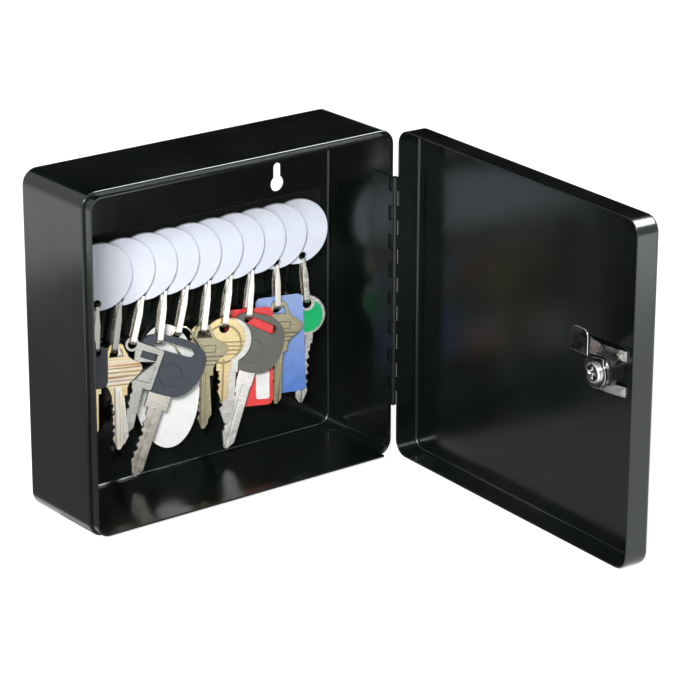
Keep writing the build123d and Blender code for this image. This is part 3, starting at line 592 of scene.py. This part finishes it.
class KEYBOX_OT_case(bpy.types.Operator):
    """Enamel the case, its lip and the strike bracket"""

    bl_idname = "keybox.case"
    bl_label = "Case"

    def execute(self, context):
        sizes = context.scene.key_box_sizes
        colours = context.scene.key_box_colours
        black = enamel("case_enamel", tuple(colours.enamel), sizes.peel)
        soften("case_pan", EDGES["case_pan"], "case", black, smooth=38.0)
        soften("strike", EDGES["strike"], "case", black)
        return {"FINISHED"}


class KEYBOX_OT_door(bpy.types.Operator):
    """Enamel the door pan"""

    bl_idname = "keybox.door"
    bl_label = "Door"

    def execute(self, context):
        sizes = context.scene.key_box_sizes
        colours = context.scene.key_box_colours
        black = enamel("door_enamel", tuple(colours.enamel), sizes.peel)
        soften("door_pan", EDGES["door_pan"], "door", black, smooth=38.0)
        return {"FINISHED"}


class KEYBOX_OT_hinge(bpy.types.Operator):
    """Finish both hinge leaves and the pin"""

    bl_idname = "keybox.hinge"
    bl_label = "Piano hinge"

    def execute(self, context):
        colours = context.scene.key_box_colours
        coated = enamel("hinge_steel", tuple(colours.enamel), 0.0006, 0.28)
        leaf = EDGES["hinge_leaf"]
        soften("hinge_case_leaf", leaf, "case", coated)
        soften("hinge_door_leaf", leaf, "door", coated)
        soften("hinge_pin", 0.0, "case", coated)
        return {"FINISHED"}


class KEYBOX_OT_lock(bpy.types.Operator):
    """Finish the cam lock: barrel, plug, cam, screw and spring fork"""

    bl_idname = "keybox.lock"
    bl_label = "Cam lock"

    def execute(self, context):
        barrel = moulded("lock_black", (0.012, 0.012, 0.012), 0.3, 0.0005, 0.5)
        chrome = bright_metal("lock_chrome", (0.66, 0.66, 0.66), 0.12)
        cam = bright_metal("cam_steel", (0.58, 0.59, 0.58), 0.14, (1.0, 0.1, 1.0))
        screw = bright_metal("screw_zinc", (0.72, 0.73, 0.72), 0.15)
        nickel = bright_metal("fork_nickel", (0.62, 0.62, 0.6), 0.22)
        for node, body, slot, material, segments in (
            ("lock_body", "door", "lock_black", barrel, 2),
            ("lock_plug", "plug", "lock_chrome", chrome, 2),
            ("lock_washer", "plug", "clip_nickel", nickel, 2),
            ("lock_cam", "plug", "cam_steel", cam, 3),
            ("cam_screw", "plug", "screw_zinc", screw, 2),
            ("lock_clip", "door", "clip_nickel", nickel, 2),
        ):
            soften(node, EDGES[node], body, material, segments)
        return {"FINISHED"}


class KEYBOX_OT_rack(bpy.types.Operator):
    """Finish the loop strip and the dots behind the tags"""

    bl_idname = "keybox.rack"
    bl_label = "Tag rack"

    def execute(self, context):
        pile = looped_pile("loop_pile")
        soften("loop_strip", EDGES["loop_strip"], "case", pile)
        soften("hook_dots", 0.0, "case", pile)
        return {"FINISHED"}


class KEYBOX_OT_tags(bpy.types.Operator):
    """Model one round tag and copy it along the rack"""

    bl_idname = "keybox.tags"
    bl_label = "Round tags"

    def tag(self, sizes):
        """A disc with a raised rim, a ring round the label and a label recess."""
        half = sizes.tag_thickness / 2
        band = sizes.tag_radius - sizes.tag_rim - sizes.tag_label - TAG_RING_FROM_LABEL
        clear_selection()
        bpy.ops.mesh.primitive_cylinder_add(
            vertices=96, radius=sizes.tag_radius, depth=sizes.tag_thickness
        )
        tag = bpy.context.object
        bpy.ops.object.mode_set(mode="EDIT")
        for inward, sink in (
            (sizes.tag_rim, 0.0),
            (TAG_STEP_WIDTH, -TAG_RING_HEIGHT),
            (band, 0.0),
            (TAG_STEP_WIDTH, TAG_RING_HEIGHT),
            (TAG_RING_WIDTH, 0.0),
            (TAG_STEP_WIDTH, -TAG_LABEL_SINK),
        ):
            mesh = bmesh.from_edit_mesh(tag.data)
            bpy.ops.mesh.select_all(action="DESELECT")
            for face in mesh.faces:
                face.select = len(face.verts) > 90 and face.normal.z > 0.9
            bmesh.update_edit_mesh(tag.data)
            bpy.ops.mesh.inset(thickness=inward, depth=sink)
        bpy.ops.object.mode_set(mode="OBJECT")
        make_active(tag)
        apply_bevel(tag, TAG_EDGE, 3, 50.0)
        for vertex in tag.data.vertices:
            vertex.co.z = max(min(vertex.co.z, half), -half)
        return tag

    def hole(self, tag, radius, side, reach):
        """Cut the clip hole with a drill."""
        clear_selection()
        bpy.ops.mesh.primitive_cylinder_add(
            vertices=40, radius=radius, depth=0.01,
            location=(side, -((reach * reach - side * side) ** 0.5), 0.0),
        )
        drill = bpy.context.object
        make_active(tag)
        cut = tag.modifiers.new("hole", "BOOLEAN")
        cut.operation = "DIFFERENCE"
        cut.object = drill
        cut.solver = "EXACT"
        bpy.ops.object.modifier_apply(modifier=cut.name)
        bpy.data.objects.remove(drill)

    def execute(self, context):
        sizes = context.scene.key_box_sizes
        colours = context.scene.key_box_colours
        plastic = moulded("tag_white", tuple(colours.tag), 0.34, 0.0009, 0.45, 0.025)
        master = self.tag(sizes)
        reach = sizes.tag_radius - TAG_HOLE_FROM_EDGE
        across = Vector((cos(radians(TAG_TURN)), -sin(radians(TAG_TURN)), 0.0))
        for number in range(1, TAG_COUNT + 1):
            tag = master.copy()
            tag.data = master.data.copy()
            tag.name = f"round_tag_{number:02d}"
            bpy.context.collection.objects.link(tag)
            self.hole(tag, sizes.tag_hole, TAG_HOLE_SIDES[number - 1], reach)
            centre = TAG_FIRST + Vector((TAG_PITCH * (number - 1), 0.0, 0.0))
            tag.data.transform(plane(centre, across, TAG_NORMAL))
            finish_piece(tag, "case", plastic, 28.0)
            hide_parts(f"tag_{number:02d}")
        bpy.data.objects.remove(master)
        return {"FINISHED"}


class KEYBOX_OT_clips(bpy.types.Operator):
    """Finish the spring clips that hold the keys, the two on the left in a darker copy of the
    nickel as painted shade
    """

    bl_idname = "keybox.clips"
    bl_label = "Clips"

    def execute(self, context):
        sizes = context.scene.key_box_sizes
        nickel = bright_metal("clip_nickel", (0.80, 0.77, 0.70), 0.2)
        # Clips 1 and 2 hang in the shadow of the case's left wall; this darker copy of the
        # nickel is painted shade.
        painted_shade_nickel = bright_metal("clip_nickel_painted_shade", (0.3, 0.3, 0.28), 0.25)
        for number in range(1, TAG_COUNT + 1):
            look = painted_shade_nickel if number < 3 else nickel
            soften(
                f"clip_{number:02d}", sizes.clip_edge, f"set_{number:02d}", look
            )
        return {"FINISHED"}


class KEYBOX_OT_metal_keys(bpy.types.Operator):
    """Finish the metal keys and blades"""

    bl_idname = "keybox.metal_keys"
    bl_label = "Metal keys"

    def execute(self, context):
        sizes = context.scene.key_box_sizes
        colours = context.scene.key_box_colours
        brass = tuple(colours.brass)
        olive = tuple(colours.olive)
        silver = tuple(colours.silver)
        looks = (
            ("key_01_blade", "brass_blade", brass, 0.35, {}),
            ("key_02_front", "brass_key", brass, 0.34,
             {"bands": BOW_BANDS, "groove": LEFT_GROOVE, "plating": BOW_PLATING}),
            ("key_02_back", "silver_key", silver, 0.3, {}),
            ("key_03", "steel_key", (0.46, 0.46, 0.43), 0.33, {}),
            ("key_04_blade", "silver_key", (0.60, 0.565, 0.50), 0.25, {}),
            ("key_06_front", "nickel_key", scaled(olive, 0.84), 0.33,
             {"bands": LOW_BANDS, "panel": BOW_PANEL, "groove": LEFT_GROOVE}),
            ("key_06_back", "silver_key", olive, 0.3, {}),
            ("key_07_front", "brass_key", scaled(brass, 1.12), 0.28,
             {"bands": ROUND_BANDS, "groove": RIGHT_GROOVE, "rims": ROUND_RIMS}),
            ("key_07_back", "silver_key", silver, 0.3, {}),
            # This blade's silver is made brighter than the other blades' to stand for the
            # strong light it catches: a painted highlight.
            ("key_08_blade", "silver_key", scaled(silver, 1.32), 0.3, {}),
            ("key_09", "nickel_key", olive, 0.33,
             {"bands": LOW_BANDS, "panel": BOW_PANEL, "groove": LEFT_GROOVE}),
            ("key_10", "silver_key", scaled(silver, 1.15), 0.25, {"groove": RIGHT_GROOVE}),
        )
        for node, slot, colour, roughness, marks in looks:
            key = node.removesuffix("_blade")
            look = key_metal(f"metal_{node}", colour, key, roughness, **marks)
            soften(node, sizes.key_edge, f"set_{node[4:6]}", look)
        return {"FINISHED"}


class KEYBOX_OT_grips(bpy.types.Operator):
    """Finish the moulded key heads and the green cap"""

    bl_idname = "keybox.grips"
    bl_label = "Moulded heads"

    def execute(self, context):
        sizes = context.scene.key_box_sizes
        colours = context.scene.key_box_colours
        slate = tuple(colours.slate)
        dark = moulded("head_dark", scaled(slate, 0.9), 0.45)
        blue_black = moulded("head_slate", slate, 0.38)
        grey = moulded("head_grey", tuple(colours.grey), 0.42)
        green = moulded("cap_green", tuple(colours.green), 0.3, 0.0012)
        soften("key_01_head", sizes.grip_edge * 0.6, "set_01", dark, 3)
        soften("key_04_head", sizes.grip_edge * 0.25, "set_04", blue_black, 3)
        soften("key_08_head", sizes.grip_edge * 0.25, "set_08", grey, 3)
        soften("key_10_cap", EDGES["key_10_cap"], "set_10", green)
        return {"FINISHED"}


class KEYBOX_OT_fob(bpy.types.Operator):
    """Finish the blank white fob and its wire ring"""

    bl_idname = "keybox.fob"
    bl_label = "Blank fob"

    def execute(self, context):
        white = moulded("fob_white", (0.80, 0.81, 0.79), 0.3, 0.0008, 0.45, 0.02)
        wire = bright_metal("ring_wire", (0.72, 0.66, 0.5), 0.18)
        soften("fob", EDGES["fob"], "set_05", white)
        soften("fob_ring", 0.0, "set_05", wire)
        return {"FINISHED"}


class KEYBOX_OT_cards(bpy.types.Operator):
    """Finish the red and blue cards and add the red card's blank label"""

    bl_idname = "keybox.cards"
    bl_label = "Cards"

    def label(self):
        """A thin paper label with rounded corners, stuck on the red card."""
        clear_selection()
        bpy.ops.mesh.primitive_cube_add(size=1.0)
        label = bpy.context.object
        label.name = "card_label"
        bpy.ops.object.mode_set(mode="EDIT")
        bpy.ops.transform.resize(value=LABEL_SIZE)
        mesh = bmesh.from_edit_mesh(label.data)
        bpy.ops.mesh.select_all(action="DESELECT")
        bpy.ops.mesh.select_mode(type="EDGE")
        for edge in mesh.edges:
            ends = [vertex.co for vertex in edge.verts]
            edge.select = (ends[0].xy - ends[1].xy).length < 0.000001
        bmesh.update_edit_mesh(label.data)
        bpy.ops.mesh.bevel(offset=LABEL_CORNER, segments=6)
        bpy.ops.mesh.select_mode(type="VERT")
        bpy.ops.object.mode_set(mode="OBJECT")
        label.data.transform(Matrix.Translation(LABEL_PLACE))
        label.data.transform(KEY_PLANES["card_red"])
        return label

    def execute(self, context):
        colours = context.scene.key_box_colours
        red = printed_card("card_red", tuple(colours.red), "card_red")
        blue = printed_card("card_blue", tuple(colours.blue), "card_blue", 0.5)
        paper = moulded("label_paper", (0.8, 0.8, 0.78), 0.5, 0.0003, 0.3)
        soften("card_red", EDGES["card"], "set_08", red)
        soften("card_blue", EDGES["card"], "set_09", blue)
        finish_piece(self.label(), "set_08", paper)
        return {"FINISHED"}


class KEYBOX_OT_stage(bpy.types.Operator):
    """Make the floor, the surroundings, the lights, the reflection cards and the camera"""

    bl_idname = "keybox.stage"
    bl_label = "Stage"

    def lamp(self, name, place, target, size, power, shine_only):
        """A soft rectangular light aimed at a point."""
        data = bpy.data.lights.new(name, "AREA")
        data.shape = "RECTANGLE"
        data.size, data.size_y = size
        data.energy = power
        lamp = bpy.data.objects.new(name, data)
        bpy.context.collection.objects.link(lamp)
        turn = (Vector(target) - Vector(place)).to_track_quat("-Z", "Y")
        lamp.matrix_world = Matrix.Translation(place) @ turn.to_matrix().to_4x4()
        lamp.visible_diffuse = not shine_only

    def backdrop_world(self):
        """Pale to the camera and in reflections, a plain soft grey as light."""
        world = bpy.data.worlds.new("backdrop")
        bpy.context.scene.world = world
        world.use_nodes = True
        nodes, links = world.node_tree.nodes, world.node_tree.links
        sky = nodes["Background"]
        sky.inputs["Color"].default_value = SKY_COLOUR
        sky.inputs["Strength"].default_value = SKY_STRENGTH
        pale = nodes.new("ShaderNodeBackground")
        path = nodes.new("ShaderNodeLightPath")
        either = nodes.new("ShaderNodeMath")
        either.operation = "MAXIMUM"
        seen = nodes.new("ShaderNodeMath")
        seen.operation = "MAXIMUM"
        links.new(path.outputs["Is Camera Ray"], either.inputs[0])
        links.new(path.outputs["Is Glossy Ray"], either.inputs[1])
        links.new(either.outputs[0], seen.inputs[0])
        links.new(path.outputs["Is Transmission Ray"], seen.inputs[1])
        choice = nodes.new("ShaderNodeMixShader")
        links.new(seen.outputs[0], choice.inputs[0])
        links.new(sky.outputs[0], choice.inputs[1])
        links.new(pale.outputs[0], choice.inputs[2])
        links.new(choice.outputs[0], nodes["World Output"].inputs["Surface"])

    def floor(self):
        """A white floor that keeps the box's shadow."""
        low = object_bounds()[0].z
        clear_selection()
        bpy.ops.mesh.primitive_circle_add(
            vertices=96, radius=FLOOR_RADIUS, fill_type="NGON",
            location=(0.0, 0.0, low - FLOOR_DROP),
        )
        floor = bpy.context.object
        floor.name = "floor"
        bpy.ops.object.transform_apply(location=True, rotation=True, scale=True)
        look = Finish("floor_white", (0.82, 0.82, 0.82), 0.0, 0.9, 0.0)
        path = look.add("ShaderNodeLightPath")
        seen = look.maths(
            "MAXIMUM", look.maths("MAXIMUM", path.outputs["Is Camera Ray"],
                                  path.outputs["Is Glossy Ray"]),
            path.outputs["Is Transmission Ray"],
        )
        look.set("Emission Color", (1.0, 1.0, 1.0, 1.0))
        look.join(look.maths("MULTIPLY", seen, FLOOR_GLOW), "Emission Strength")
        floor.data.materials.append(look.material)
        floor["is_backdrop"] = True

    def studio_card(self, name, place, target, width, height, glow=0.0):
        """A dark or grey card that only shows in reflections, as in a product studio."""
        clear_selection()
        bpy.ops.mesh.primitive_plane_add(size=1.0)
        card = bpy.context.object
        card.name = name
        turn = (Vector(target) - Vector(place)).to_track_quat("Z", "Y").to_matrix().to_4x4()
        card.data.transform(
            Matrix.Translation(place) @ turn @ Matrix.Diagonal((width, height, 1.0, 1.0))
        )
        look = Finish(f"{name}_cloth", (0.004, 0.004, 0.004), 0.0, 1.0, 0.0)
        look.set("Emission Color", (1.0, 1.0, 1.0, 1.0))
        look.set("Emission Strength", glow)
        card.data.materials.append(look.material)
        card.visible_camera = False
        card.visible_diffuse = False
        card.visible_shadow = False
        card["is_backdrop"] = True

    def camera(self):
        """The photograph's viewing angle."""
        data = bpy.data.cameras.new("camera")
        data.lens = CAMERA_LENS
        data.sensor_width = CAMERA_SENSOR
        camera = bpy.data.objects.new("camera", data)
        bpy.context.collection.objects.link(camera)
        camera.matrix_world = (
            Matrix.Translation(CAMERA_PLACE)
            @ Matrix.Rotation(radians(CAMERA_HEADING), 4, "Z")
            @ Matrix.Rotation(radians(90.0 - CAMERA_DIP), 4, "X")
            @ Matrix.Rotation(radians(CAMERA_ROLL), 4, "Z")
        )
        bpy.context.scene.camera = camera

    def execute(self, context):
        self.backdrop_world()
        self.floor()
        for lamp in LAMPS:
            self.lamp(*lamp)
        self.studio_card("dark_back", *DARK_CARD)
        low = cad_box[0].z + CARD_LIFT
        for name, x, y, width, height, glow in FLOOR_CARDS:
            self.studio_card(name, (x, y, low), (x, y, 1.0), width, height, glow)
        self.camera()
        context.scene.view_settings.view_transform = "Standard"
        return {"FINISHED"}


class KEYBOX_PT_panel(bpy.types.Panel):
    """Settings and pieces of the key box"""

    bl_idname = "KEYBOX_PT_panel"
    bl_label = "Key box"
    bl_space_type = "VIEW_3D"
    bl_region_type = "UI"
    bl_category = "Key box"

    def draw(self, context):
        for group in (context.scene.key_box_sizes, context.scene.key_box_colours):
            column = self.layout.column(align=True)
            for name in group.__annotations__:
                column.prop(group, name)
        column = self.layout.column(align=True)
        for piece in PIECES:
            column.operator(piece.bl_idname)


PIECES = (
    KEYBOX_OT_case,
    KEYBOX_OT_door,
    KEYBOX_OT_hinge,
    KEYBOX_OT_lock,
    KEYBOX_OT_rack,
    KEYBOX_OT_tags,
    KEYBOX_OT_clips,
    KEYBOX_OT_metal_keys,
    KEYBOX_OT_grips,
    KEYBOX_OT_fob,
    KEYBOX_OT_cards,
    KEYBOX_OT_stage,
)
CLASSES = (KeyBoxSizes, KeyBoxColours) + PIECES + (KEYBOX_PT_panel,)


def register():
    for item in CLASSES:
        bpy.utils.register_class(item)
    bpy.types.Scene.key_box_sizes = PointerProperty(type=KeyBoxSizes)
    bpy.types.Scene.key_box_colours = PointerProperty(type=KeyBoxColours)


def unregister():
    del bpy.types.Scene.key_box_colours
    del bpy.types.Scene.key_box_sizes
    for item in reversed(CLASSES):
        bpy.utils.unregister_class(item)


def main():
    """Make every piece in order."""
    register()
    for piece in PIECES:
        group, name = piece.bl_idname.split(".")
        getattr(getattr(bpy.ops, group), name)()


if __name__ == "__main__":
    main()
